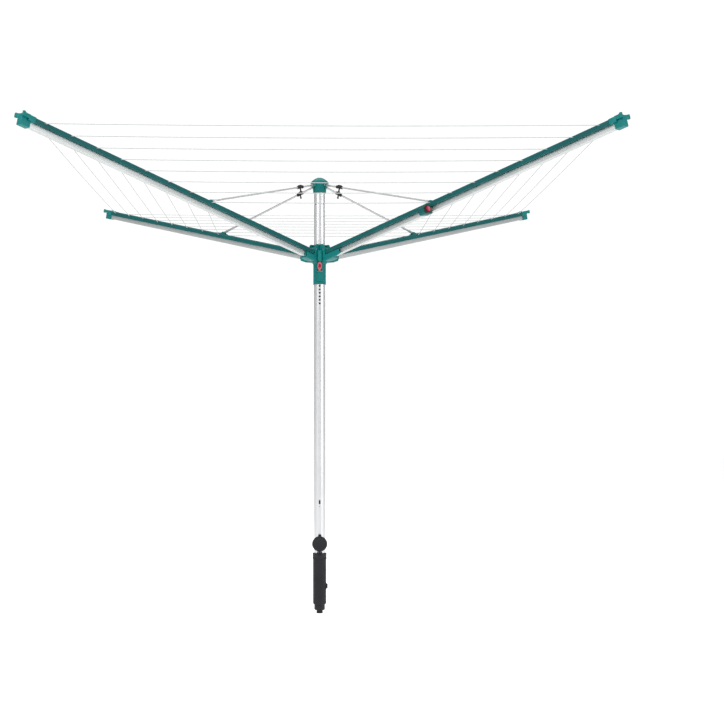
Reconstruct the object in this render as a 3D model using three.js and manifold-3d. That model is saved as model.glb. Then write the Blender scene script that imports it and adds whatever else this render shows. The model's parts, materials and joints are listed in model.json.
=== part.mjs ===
// Rotary clothesline: a mast that turns in a ground socket, four arms that fold up like an
// umbrella, and eight square loops of line that retract into the arms.
// Millimetres, +Z up. The origin is the centre of the flat underside of the ground socket,
// the mast stands on the Z axis, and the release lever is on the -Y side.
import * as THREE from "three";
import { mergeVertices } from "three/addons/utils/BufferGeometryUtils.js";
import Module from "manifold-3d";

const wasm = await Module();
wasm.setup();

// ---------- driving dimensions ----------

const GAP = 0.3; // between touching pieces
const ROUND = 28; // sides of the large round pieces
const deg = THREE.MathUtils.degToRad;

// Folding linkage. The arm root, the strut root and the strut bracket form an isosceles
// triangle, so the hub runs straight down the mast as the struts fold.
const PIVOT_R = 38; // radius of the arm roots and of the strut roots
const HUB_Z = 1619; // height of the arm roots, arms open
const STRUT_L = 620; // strut length, and arm root to strut bracket
const ARM_TILT = deg(13.35); // rise of an open arm, and fall of an open strut
const COS = Math.cos(ARM_TILT);
const SIN = Math.sin(ARM_TILT);
const CROWN_Z = HUB_Z + 2 * STRUT_L * SIN; // height of the strut roots
const ARMS = [
  { name: "front_left", azimuth: 225 },
  { name: "front_right", azimuth: 315 },
  { name: "back_right", azimuth: 45 },
  { name: "back_left", azimuth: 135 },
];
const LOCK_ARM = ARMS[1]; // carries the line lock

// Mast
const MAST_R = 25;
const MAST_WALL = 2;
const MAST_BOTTOM = 52;
const MAST_TOP = 1910;
const GROOVE_HALF = 4.5;
const GROOVE_DEPTH = 1;
const HOLE_R = 3.4; // height holes for the latch
const HOLE_PITCH = 15.5;
const HOLE_COUNT = 12;
const HOLE_LOWEST = 1380;

// Ground socket
const SOCKET_R = 29.5;
const SOCKET_BORE = MAST_R + 0.4;
const SOCKET_TOP = 269;
const COLLAR_BOTTOM = 241;
const COLLAR_R = 31.2;
const LID_R = 34;
const LID_HINGE_Y = -35.5;
const LID_HINGE_Z = 274;
const LID_CENTRE_Z = 311;

// Arm section, measured from the line through the arm root and strut bracket pivots
const COVER_TOP = -7.5;
const COVER_BOTTOM = -27.5;
const COVER_HALF = 25;
const COVER_WALL = 2.2;
const PROFILE_TOP = COVER_BOTTOM - GAP;
const PROFILE_BOTTOM = -48;
const PROFILE_HALF = 10.8;
const PROFILE_WALL = 1.8;
const COVER_START = 18;
const COVER_END = 1501;
const PROFILE_START = 40;
const PROFILE_END = 1515;

// Lines
const LINE_R = 1.5;
const LINE_LOOPS = 8;
const LOOP_R_OUTER = 1486; // distance of the outermost loop's corners from the mast axis
const LOOP_PITCH = 115.4;
const LINE_Z = -18; // height of the lines in an arm

// Hub
const HUB_BORE = MAST_R + 0.5;
const HUB_R = 28.3;
const SLEEVE_TOP = 22; // above the arm roots
const SLEEVE_DROP = 154; // below the arm roots
const SEAT_HALF = 16.7; // inner half width of a seat
const ROOT_HALF = SEAT_HALF - 1; // half width of the arm's root between the cheeks
const CHEEK = 4;
const PIN_R = 3;

// ---------- materials ----------

const material = (color, roughness, metalness) =>
  new THREE.MeshStandardMaterial({ color, roughness, metalness });
const aluminium = material(0xd9dadb, 0.32, 1);
const darkGreen = material(0x0c5f5f, 0.45, 0);
const green = material(0x07807a, 0.42, 0);
const charcoal = material(0x323237, 0.55, 0);
const black = material(0x1b1b1e, 0.5, 0);
const red = material(0xc02030, 0.4, 0);
const steel = material(0xb8b8ba, 0.3, 1);
const lineWhite = material(0xdfe2e0, 0.6, 0);

// ---------- shape helpers ----------

// A closed geometry as a manifold solid.
function solid(geometry) {
  const bare = geometry.clone();
  bare.deleteAttribute("normal");
  bare.deleteAttribute("uv");
  const merged = mergeVertices(bare, 1e-4);
  return new wasm.Manifold(
    new wasm.Mesh({
      numProp: 3,
      vertProperties: merged.attributes.position.array,
      triVerts: new Uint32Array(merged.index.array),
    }),
  );
}

function named(name, body, look) {
  const found = body.getMesh();
  const geometry = new THREE.BufferGeometry();
  geometry.setAttribute("position", new THREE.BufferAttribute(found.vertProperties, 3));
  geometry.setIndex(new THREE.BufferAttribute(found.triVerts, 1));
  geometry.computeVertexNormals();
  const mesh = new THREE.Mesh(geometry, look);
  mesh.name = name;
  return mesh;
}

// An outline, with holes if any, pushed from low to high along an axis.
// The outline's own pair is (y, z) along x, (z, x) along y and (x, y) along z.
const SWEEPS = {
  x: new THREE.Matrix4().set(0, 0, 1, 0, 1, 0, 0, 0, 0, 1, 0, 0, 0, 0, 0, 1),
  y: new THREE.Matrix4().set(0, 1, 0, 0, 0, 0, 1, 0, 1, 0, 0, 0, 0, 0, 0, 1),
  z: new THREE.Matrix4(),
};

function push(axis, outline, low, high, holes = []) {
  const points = (pairs) => {
    const found = pairs.map(([a, b]) => new THREE.Vector2(a, b));
    return THREE.ShapeUtils.isClockWise(found) ? found.reverse() : found;
  };
  const shape = new THREE.Shape(points(outline));
  holes.forEach((hole) => shape.holes.push(new THREE.Path(points(hole))));
  const depth = high - low;
  const geometry = new THREE.ExtrudeGeometry(shape, { depth, bevelEnabled: false });
  geometry.translate(0, 0, low);
  return solid(geometry.applyMatrix4(SWEEPS[axis]));
}

// An outline given as (x, z) pairs, pushed across y.
const acrossY = (outline, low, high) =>
  push("y", outline.map(([x, z]) => [z, x]), low, high);

function block([x0, x1], [y0, y1], [z0, z1]) {
  const geometry = new THREE.BoxGeometry(x1 - x0, y1 - y0, z1 - z0);
  return solid(geometry.translate((x0 + x1) / 2, (y0 + y1) / 2, (z0 + z1) / 2));
}

function circle(radius, sides, [a, b] = [0, 0]) {
  return Array.from({ length: sides }, (_, i) => {
    const t = (2 * Math.PI * (i + 0.5)) / sides;
    return [a + radius * Math.cos(t), b + radius * Math.sin(t)];
  });
}

// A round rod along an axis through a point. The point's pair follows the order of push.
const rod = (axis, radius, low, high, centre, sides = 16) =>
  push(axis, circle(radius, sides, centre), low, high);

// A profile of (radius, z) pairs, from the bottom up on the outside, turned about Z.
function turned(profile, sides = ROUND) {
  const points = profile.map(([r, z]) => new THREE.Vector2(r, z));
  return solid(new THREE.LatheGeometry(points, sides).rotateX(Math.PI / 2));
}

const joined = (bodies) => bodies.reduce((sum, body) => sum.add(body));
const turnZ = (body, degrees) => body.rotate([0, 0, degrees]);

// ---------- ground socket ----------

function socketBody() {
  const shell = turned([
    [0, 0],
    [14, 0],
    [14, 14],
    [22, 15],
    [24, 18],
    [24, 40],
    [SOCKET_R, 42],
    [SOCKET_R, COLLAR_BOTTOM - GAP],
    [28.4, COLLAR_BOTTOM - GAP],
    [28.4, SOCKET_TOP - 3],
    [SOCKET_BORE, SOCKET_TOP - 3],
    [SOCKET_BORE, 46],
    [0, 46],
  ]);
  const boss = push("y", [[106, 27.5], [136, 27.5], [130, 36], [112, 36]], -8, 8);
  return shell.add(boss);
}

function socketCollar() {
  const ring = turned([
    [28.4 + GAP, COLLAR_BOTTOM],
    [COLLAR_R, COLLAR_BOTTOM],
    [COLLAR_R, SOCKET_TOP - 1],
    [COLLAR_R - 1, SOCKET_TOP],
    [SOCKET_BORE, SOCKET_TOP],
    [SOCKET_BORE, SOCKET_TOP - 3 + GAP],
    [28.4 + GAP, SOCKET_TOP - 3 + GAP],
    [28.4 + GAP, COLLAR_BOTTOM],
  ]);
  const ear = [
    [-29, 256],
    [-36, 258],
    [-39.5, 271],
    [-39, 276],
    [-35.5, 278],
    [-32, 276],
    [-31.5, 268],
    [-29, 268],
  ];
  const ears = [-1, 1].map((side) => {
    const [low, high] = side < 0 ? [-11.5, -7] : [7, 11.5];
    return push("x", ear, low, high);
  });
  const pinHole = rod("x", 1.5 + GAP, -12, 12, [LID_HINGE_Y, LID_HINGE_Z], 12);
  return joined([ring, ...ears]).subtract(pinHole);
}

const lidHingePin = () => rod("x", 1.5, -11, 11, [LID_HINGE_Y, LID_HINGE_Z], 12);

// The lid stands open in front of the mast. Its plug ring faces the mast.
function socketLid() {
  const disc = push("y", circle(LID_R, ROUND, [LID_CENTRE_Z, 0]), -34.2, -31);
  const ring = push("y", circle(22, ROUND, [LID_CENTRE_Z, 0]), -31.5, -28.4, [
    circle(19.5, ROUND, [LID_CENTRE_Z, 0]),
  ]);
  const tab = block([-6.5, 6.5], [-34.2, -31], [340, 353]);
  const neck = block([-6.3, 6.3], [-35, -31], [274, 282]);
  const barrel = rod("x", 3.6, -6.3, 6.3, [LID_HINGE_Y, LID_HINGE_Z], 16);
  const pinHole = rod("x", 1.5 + GAP, -12, 12, [LID_HINGE_Y, LID_HINGE_Z], 12);
  return joined([disc, ring, tab, neck, barrel]).subtract(pinHole);
}

// ---------- mast ----------

// A round tube with a shallow groove along each of its four sides.
function mastTube() {
  const outline = [];
  const half = Math.asin(GROOVE_HALF / MAST_R);
  const steps = 5;
  for (let quarter = 0; quarter < 4; quarter += 1) {
    const start = (quarter * Math.PI) / 2;
    const inner = MAST_R * Math.cos(half) - GROOVE_DEPTH;
    const spot = (u, v) => [
      u * Math.cos(start) - v * Math.sin(start),
      u * Math.sin(start) + v * Math.cos(start),
    ];
    outline.push(spot(inner, -GROOVE_HALF), spot(inner, GROOVE_HALF));
    for (let i = 0; i <= steps; i += 1) {
      const t = start + half + ((Math.PI / 2 - 2 * half) * i) / steps;
      outline.push([MAST_R * Math.cos(t), MAST_R * Math.sin(t)]);
    }
  }
  const bore = circle(MAST_R - MAST_WALL - GROOVE_DEPTH, ROUND);
  const tube = push("z", outline, MAST_BOTTOM, MAST_TOP, [bore]);
  const heights = Array.from({ length: HOLE_COUNT }, (_, i) => HOLE_LOWEST + i * HOLE_PITCH);
  const latchHoles = heights.map((z) => rod("y", HOLE_R, -30, 0, [z, 0], 8));
  const slot = block([-3.5, 3.5], [-30, 0], [487, 505]);
  const vent = rod("y", 1.6, -30, 0, [477, 0], 8);
  const rivetHoles = ARMS.map((arm) =>
    turnZ(rod("x", 2.6, 0, 30, [0, 1823], 8), arm.azimuth),
  );
  return tube.subtract(joined([...latchHoles, slot, vent, ...rivetHoles]));
}

const mastFoot = () =>
  turned([
    [0, 46 + GAP],
    [MAST_R - 0.3, 46 + GAP],
    [MAST_R - 0.3, MAST_BOTTOM - GAP],
    [21.6, MAST_BOTTOM - GAP],
    [20.6, 80],
    [0, 80],
  ]);

// ---------- crown ----------

const BRIM_R = 40.5;
const BRIM_BOTTOM = CROWN_Z + 8;
const BRIM_TOP = BRIM_BOTTOM + 9;
const SKIRT_BOTTOM = 1873;

function crownBody() {
  const shell = turned([
    [MAST_R + GAP, SKIRT_BOTTOM],
    [28, SKIRT_BOTTOM],
    [30, CROWN_Z - 12],
    [34, CROWN_Z + 1],
    [35.5, BRIM_BOTTOM],
    [BRIM_R, BRIM_BOTTOM + 1],
    [BRIM_R, BRIM_TOP - 1],
    [BRIM_R - 1.5, BRIM_TOP],
    [0, BRIM_TOP],
    [0, MAST_TOP + GAP],
    [MAST_R + GAP, MAST_TOP + GAP],
    [MAST_R + GAP, SKIRT_BOTTOM],
  ]);
  const lug = [
    [27.5, CROWN_Z - 9],
    [38, CROWN_Z - 5.5],
    [43, CROWN_Z - 3],
    [43, CROWN_Z + 3],
    [40, BRIM_BOTTOM + 4],
    [27.5, BRIM_BOTTOM + 4],
  ];
  const lugs = ARMS.map((arm) => turnZ(acrossY(lug, -8.5, 8.5), arm.azimuth));
  const slots = ARMS.map((arm) => {
    const slot = block([27, 50], [-3.2, 3.2], [SKIRT_BOTTOM - 9, CROWN_Z + 6.5]);
    const pinHole = rod("y", 2.5 + GAP, -9, 9, [CROWN_Z, PIVOT_R], 10);
    return turnZ(slot.add(pinHole), arm.azimuth);
  });
  return joined([shell, ...lugs]).subtract(joined(slots));
}

// A dome whose section is a parabola.
const crownCap = () =>
  turned([
    [0, BRIM_TOP + GAP],
    [BRIM_R - 2, BRIM_TOP + GAP],
    [BRIM_R - 2.6, BRIM_TOP + 1.8],
    [35.2, BRIM_TOP + 3.5],
    [31.5, BRIM_TOP + 7],
    [26.5, BRIM_TOP + 11],
    [20, BRIM_TOP + 15],
    [13, BRIM_TOP + 18.2],
    [6.5, BRIM_TOP + 20],
    [0, BRIM_TOP + 20.6],
  ]);

const strutPin = () => rod("y", 2.5, -8.3, 8.3, [0, 0], 10);

// ---------- strut, in its own frame: x from the crown pivot to the arm pivot ----------

const TONGUE_HALF = 2.6;
const TONGUE_R = 4.3;
const STRUT_R = 4.5;

function strut() {
  const tube = rod("x", STRUT_R, 18, STRUT_L - 18, [0, 0], 10);
  const tongues = [0, STRUT_L].map((x) => {
    const inner = x === 0 ? 26 : STRUT_L - 26;
    const plate = block(
      [Math.min(x, inner), Math.max(x, inner)],
      [-TONGUE_HALF, TONGUE_HALF],
      [-TONGUE_R, TONGUE_R],
    );
    return plate.add(rod("y", TONGUE_R, -TONGUE_HALF, TONGUE_HALF, [0, x], 12));
  });
  const holes = [0, STRUT_L].map((x) => rod("y", 2.5 + GAP, -6, 6, [0, x], 10));
  return joined([tube, ...tongues]).subtract(joined(holes));
}

const CLIP_X = 87; // from the crown pivot

// A snap-on barrel with a hanging peg.
function strutClip() {
  const barrel = rod("x", 7.4, CLIP_X - 17, CLIP_X + 17, [0, 0], 12);
  const peg = rod("z", 3.6, -19, -5, [CLIP_X, 0], 12);
  const bead = rod("z", 5, -21.5, -18, [CLIP_X, 0], 12);
  const thumb = block([CLIP_X - 9, CLIP_X + 9], [-3, 3], [6, 10]);
  const bore = rod("x", STRUT_R + GAP, CLIP_X - 18, CLIP_X + 18, [0, 0], 12);
  return joined([barrel, peg, bead, thumb]).subtract(bore);
}

// ---------- arm, in its own frame: x along the arm, z square to it, origin at the arm root ----------

const coverOutline = [
  [11.3, COVER_BOTTOM],
  [COVER_HALF, COVER_BOTTOM],
  [COVER_HALF, COVER_TOP - 5],
  [COVER_HALF - 1.4, COVER_TOP - 1.4],
  [COVER_HALF - 5, COVER_TOP],
];
const coverInner = [
  [11.3, COVER_BOTTOM + COVER_WALL],
  [COVER_HALF - COVER_WALL, COVER_BOTTOM + COVER_WALL],
  [COVER_HALF - COVER_WALL, COVER_TOP - 6],
  [COVER_HALF - 6, COVER_TOP - COVER_WALL],
];
const bothSides = (half) => [...half, ...half.map(([y, z]) => [-y, z]).reverse()];

// Place of a loop's corner along an arm.
const loopX = (loop) => {
  const radius = LOOP_R_OUTER - loop * LOOP_PITCH;
  return (radius - PIVOT_R + LINE_Z * SIN) / COS;
};
const loops = Array.from({ length: LINE_LOOPS }, (_, i) => i);

// A flat channel with two lips underneath that rest on the aluminium profile.
function armCover() {
  const section = [...bothSides(coverOutline), ...bothSides(coverInner).reverse()];
  const shell = push("x", section, COVER_START, COVER_END);
  // Windows in both side walls, where the lines come out
  const mid = COVER_HALF - COVER_WALL / 2;
  const windows = loops.flatMap((loop) => {
    const x = loopX(loop) - mid * COS;
    const z = LINE_Z + mid * SIN;
    return [-1, 1].map((side) => {
      const walls = [side * (COVER_HALF - 4), side * (COVER_HALF + 2)].sort((a, b) => a - b);
      return block([x - 5, x + 5], walls, [z - 3.2, z + 2.6]);
    });
  });
  return shell.subtract(joined(windows));
}

function boxSection(half, top, bottom, corner) {
  return [
    [half, top],
    [half, bottom + corner],
    [half - corner, bottom],
    [corner - half, bottom],
    [-half, bottom + corner],
    [-half, top],
  ];
}

function armProfile() {
  const outer = boxSection(PROFILE_HALF, PROFILE_TOP, PROFILE_BOTTOM, 3);
  const inner = boxSection(
    PROFILE_HALF - PROFILE_WALL,
    PROFILE_TOP - PROFILE_WALL,
    PROFILE_BOTTOM + PROFILE_WALL,
    2,
  );
  return push("x", outer, PROFILE_START, PROFILE_END, [inner]);
}

const plugHalf = PROFILE_HALF - PROFILE_WALL - GAP;
const plugTop = PROFILE_TOP - PROFILE_WALL - GAP;
const plugBottom = PROFILE_BOTTOM + PROFILE_WALL + GAP;
const plug = (low, high) =>
  push("x", boxSection(plugHalf, plugTop, plugBottom, 2), low, high);

// The knuckle that turns on the hub's root pin, and the block that holds the profile's inner end.
const ROOT_END = 62;

function armRoot() {
  const knuckle = rod("y", 9, -ROOT_HALF, ROOT_HALF, [0, 0], 20);
  const ceiling = COVER_TOP - COVER_WALL - 2;
  const web = acrossY(
    [
      [-8, -4],
      [-2, -40],
      [6, PROFILE_BOTTOM + 1],
      [PROFILE_START - GAP, PROFILE_BOTTOM + 1],
      [PROFILE_START - GAP, ceiling],
      [16, ceiling],
      [8, 4],
    ],
    -9,
    9,
  );
  const heel = acrossY(
    [
      [6, PROFILE_BOTTOM],
      [ROOT_END, PROFILE_BOTTOM],
      [ROOT_END, PROFILE_TOP],
      [2, PROFILE_TOP],
    ],
    -ROOT_HALF,
    ROOT_HALF,
  );
  const clear = PROFILE_HALF + GAP;
  const channel = block(
    [PROFILE_START - GAP, ROOT_END + 1],
    [-clear, clear],
    [PROFILE_BOTTOM - 1, PROFILE_TOP + 1],
  );
  const hole = rod("y", PIN_R + 0.5, -20, 20, [0, 0], 12);
  const casing = joined([knuckle, web, heel]).subtract(joined([channel, hole]));
  return casing.add(plug(PROFILE_START - 2, 76));
}

// Plate on the cover with two ears and the pin that the strut turns on.
function strutBracket() {
  const seat = COVER_TOP + GAP;
  const top = seat + 2.6;
  const plate = block([STRUT_L - 14, STRUT_L + 40], [-13, 13], [seat, top]);
  const ear = acrossY(
    [
      [STRUT_L - 10, top - 1],
      [STRUT_L + 22, top - 1],
      [STRUT_L + 10, 0.5],
      [STRUT_L + 4.5, 4.6],
      [STRUT_L - 4.5, 4.6],
      [STRUT_L - 8.5, 0.5],
    ],
    -6.8,
    6.8,
  );
  const slot = block([STRUT_L - 20, STRUT_L + 50], [-3.2, 3.2], [top, 12]);
  const pin = rod("y", 2.5, -6.8, 6.8, [0, STRUT_L], 10);
  return joined([plate, ear]).subtract(slot).add(pin);
}

// End cap: it carries on the cover's section and spreads into two horns to hang things from.
const TIP_BLOCK_END = 1556;
const TIP_BLOCK_HALF = 15;
const HORN_X = 1557;
const HORN_Y = 26;
const HORN_R = 6;

function tipCap() {
  const shoulder = block(
    [COVER_END + GAP, 1532],
    [-COVER_HALF, COVER_HALF],
    [COVER_BOTTOM, COVER_TOP + 1],
  );
  const half = [
    [1528, 24.5],
    [1543, 24.5],
    [1551, 29],
    [HORN_X, HORN_Y + 4],
    [HORN_X + 3, HORN_Y - 5],
    [HORN_X, 15],
    [1554, 8],
    [1553, 0],
  ];
  const plan = [...half, ...half.slice(0, -1).map(([x, y]) => [x, -y]).reverse()];
  const spread = push("z", plan, -20, -5);
  const horns = [-1, 1].map((side) => rod("z", HORN_R, -21, -3, [HORN_X, side * HORN_Y], 14));
  const close = block(
    [PROFILE_END + GAP, TIP_BLOCK_END],
    [-TIP_BLOCK_HALF, TIP_BLOCK_HALF],
    [PROFILE_BOTTOM - 2.6, -18],
  );
  return joined([shoulder, spread, ...horns, close, plug(PROFILE_END - 40, PROFILE_END + 2)]);
}

// The half of every line that this arm carries, joined by the carriage inside the arm.
function lineSet() {
  const carriage = block([loopX(LINE_LOOPS - 1) - 5, loopX(0) + 5], [-4, 4], [LINE_Z - 4.4, LINE_Z + 3]);
  const strands = loops.flatMap((loop) => {
    const length = (LOOP_R_OUTER - loop * LOOP_PITCH) / Math.SQRT2 - GAP / 2;
    return [-1, 1].map((side) => {
      const along = new THREE.Vector3(-COS, side, SIN).normalize();
      const turn = new THREE.Quaternion().setFromUnitVectors(new THREE.Vector3(0, 1, 0), along);
      const strand = new THREE.CylinderGeometry(LINE_R, LINE_R, length, 6);
      strand.translate(0, length / 2, 0).applyQuaternion(turn);
      return solid(strand.translate(loopX(loop), 0, LINE_Z));
    });
  });
  return joined([carriage, ...strands]);
}

// Tension lock on the side of one arm: a clamped housing, a collar and a push button.
const LOCK_Y = -43;
const LOCK_Z = -42;
const LOCK_START = 592;
const LOCK_RING = 622; // where the housing ends and the ring begins

function lockHousing() {
  const wrap = push(
    "x",
    [
      [-PROFILE_HALF - GAP, COVER_BOTTOM - 0.6],
      [-PROFILE_HALF - GAP, PROFILE_BOTTOM + 2.6],
      [3 - PROFILE_HALF, PROFILE_BOTTOM - 0.5],
      [-4, PROFILE_BOTTOM - 0.5],
      [-4, -53],
      [-50, -60],
      [-58, -54],
      [-58, -32],
      [-52, -26],
      [-26, -25],
      [-COVER_HALF - 0.5, COVER_BOTTOM - 0.6],
    ],
    LOCK_START,
    LOCK_RING,
  );
  return wrap.subtract(rod("x", 9, LOCK_START + 12, LOCK_RING + 2, [LOCK_Y, LOCK_Z], 20));
}

const lockCollar = () =>
  push("x", circle(16.6, 28, [LOCK_Y, LOCK_Z]), LOCK_RING + GAP, LOCK_RING + 10, [
    circle(11.6, 24, [LOCK_Y, LOCK_Z]),
  ]);

const lockButton = () =>
  rod("x", 11, LOCK_RING + 5, LOCK_RING + 16, [LOCK_Y, LOCK_Z], 24).add(
    rod("x", 8.4, LOCK_START + 19, LOCK_RING + 6, [LOCK_Y, LOCK_Z], 20),
  );

// ---------- hub, in its own frame: origin on the mast axis at the height of the arm roots ----------

const slope = SIN / COS;
const armLine = (r, depth) => (r - PIVOT_R) * slope + depth / COS;
const LEVER_Z = -97; // lever pivot
const LEVER_Y = -32.5;

const SEAT_FOOT = -51;

// One seat: a floor under the arm and a cheek on each side of it. The seat of the arm that
// carries the lock has one longer cheek, with a spike.
function hubSeat(long) {
  const under = (r) => armLine(r, PROFILE_BOTTOM) - 1.2;
  const beside = (r) => armLine(r, COVER_BOTTOM) - 1.2;
  const cheek = (reach, spike) => [
    [20, SEAT_FOOT],
    [34, SEAT_FOOT],
    [70, under(70) - 7],
    [reach, under(reach) - 4],
    ...spike,
    [reach, beside(reach)],
    [53, beside(53)],
    [51.5, -8],
    [50, 5],
    [46, 12],
    [40, 22.5],
    [34, 23],
    [20, 23],
  ];
  const spike = [
    [137, under(137) - 3],
    [155, under(155) + 1],
    [137, under(137) + 9],
  ];
  const outer = SEAT_HALF + CHEEK;
  const plain = acrossY(cheek(100, []), SEAT_HALF, outer);
  const other = acrossY(long ? cheek(137, spike) : cheek(100, []), -outer, -SEAT_HALF);
  const floor = acrossY(
    [
      [20, SEAT_FOOT],
      [34, SEAT_FOOT],
      [70, under(70) - 7],
      [100, under(100) - 5],
      [100, under(100)],
      [58, under(58)],
      [20, -47],
    ],
    -SEAT_HALF - 1,
    SEAT_HALF + 1,
  );
  const pinHole = rod("y", PIN_R + GAP, -25, 25, [0, PIVOT_R], 12);
  return joined([plain, other, floor]).subtract(pinHole);
}

const HANDLE_BOTTOM = -53;
const HANDLE_TOP = -5;

// Plan of the grip bar: its back fits the corner between the two front seats.
function handleOutline(extra) {
  const corner = (SEAT_HALF + CHEEK) * Math.SQRT2 + 0.5 - extra;
  const half = 9.5 + extra;
  const front = 47.5 + extra;
  return [
    [0, -corner],
    [-half, -corner - half],
    [-half, 3.5 - front],
    [3.5 - half, -front],
    [half - 3.5, -front],
    [half, 3.5 - front],
    [half, -corner - half],
  ];
}

function hubBody() {
  const sleeve = rod("z", HUB_R, -SLEEVE_DROP, SLEEVE_TOP, [0, 0], ROUND);
  const flare = turned([
    [0, -63],
    [HUB_R - 0.5, -63],
    [36, -49],
    [36, -43],
    [0, -43],
  ]);
  const seats = ARMS.map((arm) => turnZ(hubSeat(arm === LOCK_ARM), arm.azimuth));
  const housing = push(
    "z",
    [
      [-14.5, -24],
      [-14.5, -33],
      [-11, -37],
      [11, -37],
      [14.5, -33],
      [14.5, -24],
    ],
    -141,
    -51,
  );
  const bore = rod("z", HUB_BORE, -SLEEVE_DROP - 5, SLEEVE_TOP + 5, [0, 0], ROUND);
  const pocket = block([-11, 11], [-45, -28], [LEVER_Z - 8, LEVER_Z + 45.5]);
  const lowerPocket = block([-5.5, 5.5], [-45, -30], [LEVER_Z - 26, LEVER_Z]);
  const window = block([-4.5, 4.5], [-45, -20], [LEVER_Z - 24, LEVER_Z - 12]);
  const pinHole = rod("x", 2 + GAP, -13.5, 13.5, [LEVER_Y, LEVER_Z], 10);
  const handleSeat = push("z", handleOutline(GAP), HANDLE_BOTTOM - GAP, HANDLE_TOP + GAP);
  const cut = joined([bore, pocket, lowerPocket, window, pinHole, handleSeat]);
  return joined([sleeve, flare, housing, ...seats]).subtract(cut);
}

// Grip bar in the corner between the two front seats.
function hubHandle() {
  const bar = push("z", handleOutline(0), HANDLE_BOTTOM, HANDLE_TOP);
  const slant = push("x", [[-60, 1], [-60, -15], [-36, 1]], -15, 15);
  return bar.subtract(slant);
}

const rootPin = () => {
  const half = SEAT_HALF + CHEEK - GAP;
  return rod("y", PIN_R, -half, half, [0, 0], 12);
};

// Rocking release lever: a pad to press above the pivot, and the latch nose below it.
function releaseLever() {
  const pad = push(
    "y",
    Array.from({ length: 24 }, (_, i) => {
      const t = (2 * Math.PI * i) / 24;
      return [LEVER_Z + 23 + 20.5 * Math.cos(t), 10.4 * Math.sin(t)];
    }),
    -40,
    -34.5,
  );
  const stem = block([-4.5, 4.5], [-36, LEVER_Y], [LEVER_Z, LEVER_Z + 10]);
  const knuckle = rod("x", 4.2, -4.5, 4.5, [LEVER_Y, LEVER_Z], 14);
  const tail = block([-4.5, 4.5], [-34.8, -31.5], [LEVER_Z - 22, LEVER_Z]);
  const nose = block([-2.8, 2.8], [-32, -MAST_R - 0.4], [LEVER_Z - 21, LEVER_Z - 15.5]);
  const hole = rod("x", 2 + GAP, -6, 6, [LEVER_Y, LEVER_Z], 10);
  return joined([pad, stem, knuckle, tail, nose]).subtract(hole);
}

const leverPin = () => rod("x", 2, -13.2, 13.2, [LEVER_Y, LEVER_Z], 10);

// Coil of the lever's return spring, round its pin beside the knuckle.
function leverSpring() {
  const turns = 3;
  const pitch = 1.5;
  const steps = 8 * turns;
  const path = new THREE.CatmullRomCurve3(
    Array.from({ length: steps + 1 }, (_, i) => {
      const t = (2 * Math.PI * i) / 8;
      return new THREE.Vector3(
        5.3 + (pitch * t) / (2 * Math.PI),
        LEVER_Y + 3.4 * Math.cos(t),
        LEVER_Z + 3.4 * Math.sin(t),
      );
    }),
  );
  const wire = new THREE.Shape(circle(0.5, 4).map(([a, b]) => new THREE.Vector2(a, b)));
  return solid(
    new THREE.ExtrudeGeometry(wire, { steps, bevelEnabled: false, extrudePath: path }),
  );
}

// ---------- assembly ----------

const clothesline = new THREE.Group();

clothesline.add(
  named("ground_socket", socketBody(), charcoal),
  named("socket_collar", socketCollar(), charcoal),
  named("lid_hinge_pin", lidHingePin(), steel),
  named("socket_lid", socketLid(), charcoal),
  named("mast_foot", mastFoot(), black),
  named("mast_tube", mastTube(), aluminium),
  named("crown_body", crownBody(), green),
  named("crown_cap", crownCap(), green),
);

const hub = new THREE.Group();
hub.position.z = HUB_Z;
hub.add(
  named("hub_body", hubBody(), green),
  named("hub_handle", hubHandle(), green),
  named("release_lever", releaseLever(), red),
  named("lever_pin", leverPin(), steel),
  named("lever_spring", leverSpring(), steel),
);
clothesline.add(hub);

// A frame at a pivot on the given azimuth, its x axis tilted up from the horizontal.
function frameAt(azimuth, height, tilt) {
  const frame = new THREE.Group();
  const turn = deg(azimuth);
  frame.position.set(PIVOT_R * Math.cos(turn), PIVOT_R * Math.sin(turn), height);
  frame.rotation.set(0, -tilt, turn, "ZYX");
  clothesline.add(frame);
  return frame;
}

for (const { name, azimuth } of ARMS) {
  frameAt(azimuth, HUB_Z, 0).add(named(`root_pin_${name}`, rootPin(), steel));
  frameAt(azimuth, HUB_Z, ARM_TILT).add(
    named(`arm_root_${name}`, armRoot(), green),
    named(`arm_profile_${name}`, armProfile(), aluminium),
    named(`arm_cover_${name}`, armCover(), darkGreen),
    named(`tip_cap_${name}`, tipCap(), green),
    named(`strut_bracket_${name}`, strutBracket(), green),
    named(`lines_${name}`, lineSet(), lineWhite),
  );
  frameAt(azimuth, CROWN_Z, 0).add(named(`strut_pin_${name}`, strutPin(), steel));
  frameAt(azimuth, CROWN_Z, -ARM_TILT).add(
    named(`strut_${name}`, strut(), aluminium),
    named(`strut_clip_${name}`, strutClip(), black),
  );
}

frameAt(LOCK_ARM.azimuth, HUB_Z, ARM_TILT).add(
  named("lock_housing", lockHousing(), green),
  named("lock_collar", lockCollar(), black),
  named("lock_button", lockButton(), red),
);

export default clothesline;
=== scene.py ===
"""Looks of the rotary clothesline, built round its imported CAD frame. Metres, +Z up."""

import json
import math

import bmesh
import bpy
from mathutils import Matrix, Vector


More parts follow.
